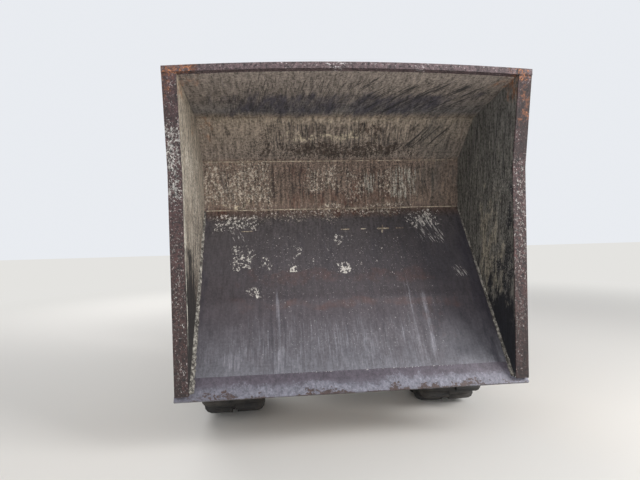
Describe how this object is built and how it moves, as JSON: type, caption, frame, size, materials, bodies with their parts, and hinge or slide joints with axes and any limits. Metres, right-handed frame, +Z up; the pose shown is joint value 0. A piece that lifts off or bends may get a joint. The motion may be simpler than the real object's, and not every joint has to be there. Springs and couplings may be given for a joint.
{
  "type": "articulated site dumper with a front-tipping skip",
  "caption": "Articulated site dumper standing with its worn steel skip tipped fully forward, driver's seat and roll hoop behind.",
  "frame": {"origin": "on the ground under the middle of the whole machine as it stands with the skip tipped", "axes": "+Z up, the front of the machine faces -Y, +X to its left"},
  "size_m": [2.416, 4.685, 3.222],
  "materials": {
    "skip_worn_steel": "paint worn through to rust and rubbed steel",
    "body_yellow": "semi-gloss enamel",
    "chassis_grey": "satin enamel",
    "chrome_rod": "hard chrome",
    "tyre_rubber": "worn rubber",
    "rim_paint": "satin enamel",
    "engine_iron": "painted casting",
    "tail_iron": "painted casting",
    "black_plastic": "moulded",
    "seat_vinyl": "vinyl cover over foam",
    "silencer_steel": "heat browned",
    "lamp_lens": "clear and red lenses",
    "amber_lens": "amber dome"
  },
  "bodies": {
    "front_chassis": {"front_frame": "chassis_grey", "front_axle": "chassis_grey"},
    "skip": {"skip_wrapper": "skip_worn_steel", "skip_side_left": "skip_worn_steel", "skip_side_right": "skip_worn_steel", "skip_rim": "skip_worn_steel", "skip_lip": "skip_worn_steel", "skip_underframe": "body_yellow"},
    "tip_ram_barrel_left": {"tip_ram_barrel_left": "chassis_grey"},
    "tip_ram_rod_left": {"tip_ram_rod_left": "chrome_rod"},
    "tip_ram_barrel_right": {"tip_ram_barrel_right": "chassis_grey"},
    "tip_ram_rod_right": {"tip_ram_rod_right": "chrome_rod"},
    "centre_pivot": {"centre_pivot": "chassis_grey"},
    "steering_ram_barrel": {"steering_ram_barrel": "chassis_grey"},
    "steering_ram_rod": {"steering_ram_rod": "chrome_rod"},
    "rear_chassis": {"rear_frame": "chassis_grey", "rear_axle": "chassis_grey", "engine_block": "engine_iron", "rear_grille": "black_plastic", "platform": "chassis_grey", "mudguards": "body_yellow", "console": "black_plastic", "controls": "black_plastic", "seat_base": "chassis_grey", "seat_cushion": "seat_vinyl", "seat_back": "seat_vinyl", "rops_posts": "chassis_grey", "fuel_tank": "chassis_grey", "hydraulic_tank": "chassis_grey", "exhaust": "silencer_steel", "rear_bumper": "tail_iron", "handrails": "chassis_grey", "lamps": "lamp_lens"},
    "engine_bonnet": {"engine_bonnet": "body_yellow"},
    "rops_hoop": {"rops_hoop": "chassis_grey", "beacon": "amber_lens"},
    "steering_wheel": {"steering_wheel": "black_plastic"},
    "wheel_front_left": {"tyre_front_left": "tyre_rubber", "rim_front_left": "rim_paint"},
    "wheel_front_right": {"tyre_front_right": "tyre_rubber", "rim_front_right": "rim_paint"},
    "wheel_rear_left": {"tyre_rear_left": "tyre_rubber", "rim_rear_left": "rim_paint"},
    "wheel_rear_right": {"tyre_rear_right": "tyre_rubber", "rim_rear_right": "rim_paint"}
  },
  "joints": [
    {"name": "skip_tip", "type": "hinge", "parent": "front_chassis", "child": "skip", "pos_m": [0, -1.3745, 1.1], "axis": [1, 0, 0], "range_deg": [-78, 0]},
    {"name": "steer", "type": "hinge", "parent": "front_chassis", "child": "centre_pivot", "pos_m": [0, 0.0525, 0.62], "axis": [0, 0, 1], "range_deg": [-36, 36]},
    {"name": "rock", "type": "hinge", "parent": "centre_pivot", "child": "rear_chassis", "pos_m": [0, 0.0525, 0.62], "axis": [0, 1, 0], "range_deg": [-10, 10]},
    {"name": "rops_fold", "type": "hinge", "parent": "rear_chassis", "child": "rops_hoop", "pos_m": [0, 1.0875, 1.62], "axis": [1, 0, 0], "range_deg": [-90, 0]},
    {"name": "bonnet_open", "type": "hinge", "parent": "rear_chassis", "child": "engine_bonnet", "pos_m": [0, 2.0375, 0.93], "axis": [-1, 0, 0], "range_deg": [0, 55]},
    {"name": "steering_wheel_turn", "type": "hinge", "parent": "rear_chassis", "child": "steering_wheel", "pos_m": [0, 0.4025, 1.43981], "axis": [0, 0.5, 0.866], "continuous": true},
    {"name": "tip_ram_swing_left", "type": "hinge", "parent": "front_chassis", "child": "tip_ram_barrel_left", "pos_m": [0.17, -0.4675, 0.58], "axis": [1, 0, 0], "range_deg": [0, 5.93]},
    {"name": "tip_ram_stroke_left", "type": "slide", "parent": "tip_ram_barrel_left", "child": "tip_ram_rod_left", "axis": [0, -0.7116, 0.7025], "range_m": [-0.3666, 0]},
    {"name": "tip_ram_swing_right", "type": "hinge", "parent": "front_chassis", "child": "tip_ram_barrel_right", "pos_m": [-0.17, -0.4675, 0.58], "axis": [1, 0, 0], "range_deg": [0, 5.93]},
    {"name": "tip_ram_stroke_right", "type": "slide", "parent": "tip_ram_barrel_right", "child": "tip_ram_rod_right", "axis": [0, -0.7116, 0.7025], "range_m": [-0.3666, 0]},
    {"name": "steering_ram_swing", "type": "hinge", "parent": "front_chassis", "child": "steering_ram_barrel", "pos_m": [0.4, -0.7975, 0.55], "axis": [0, 0, 1], "range_deg": [-2.13, 2.13]},
    {"name": "steering_ram_stroke", "type": "slide", "parent": "steering_ram_barrel", "child": "steering_ram_rod", "axis": [-0.229, 0.9734, 0], "range_m": [-0.1151, 0.1151]},
    {"name": "wheel_spin_front_left", "type": "hinge", "parent": "front_chassis", "child": "wheel_front_left", "pos_m": [0.8825, -1.2475, 0.575], "axis": [1, 0, 0], "continuous": true},
    {"name": "wheel_spin_front_right", "type": "hinge", "parent": "front_chassis", "child": "wheel_front_right", "pos_m": [-0.8825, -1.2475, 0.575], "axis": [1, 0, 0], "continuous": true},
    {"name": "wheel_spin_rear_left", "type": "hinge", "parent": "rear_chassis", "child": "wheel_rear_left", "pos_m": [0.8825, 1.3525, 0.575], "axis": [1, 0, 0], "continuous": true},
    {"name": "wheel_spin_rear_right", "type": "hinge", "parent": "rear_chassis", "child": "wheel_rear_right", "pos_m": [-0.8825, 1.3525, 0.575], "axis": [1, 0, 0], "continuous": true}
  ],
  "couplings": [
    {"joint": "tip_ram_swing_left", "follows": "skip_tip", "ratio": -0.074496},
    {"joint": "tip_ram_stroke_left", "follows": "skip_tip", "m_per_rad": 0.26779},
    {"joint": "tip_ram_swing_right", "follows": "skip_tip", "ratio": -0.074496},
    {"joint": "tip_ram_stroke_right", "follows": "skip_tip", "m_per_rad": 0.26779},
    {"joint": "steering_ram_swing", "follows": "steer", "ratio": -0.058121},
    {"joint": "steering_ram_stroke", "follows": "steer", "m_per_rad": 0.18004}
  ]
}
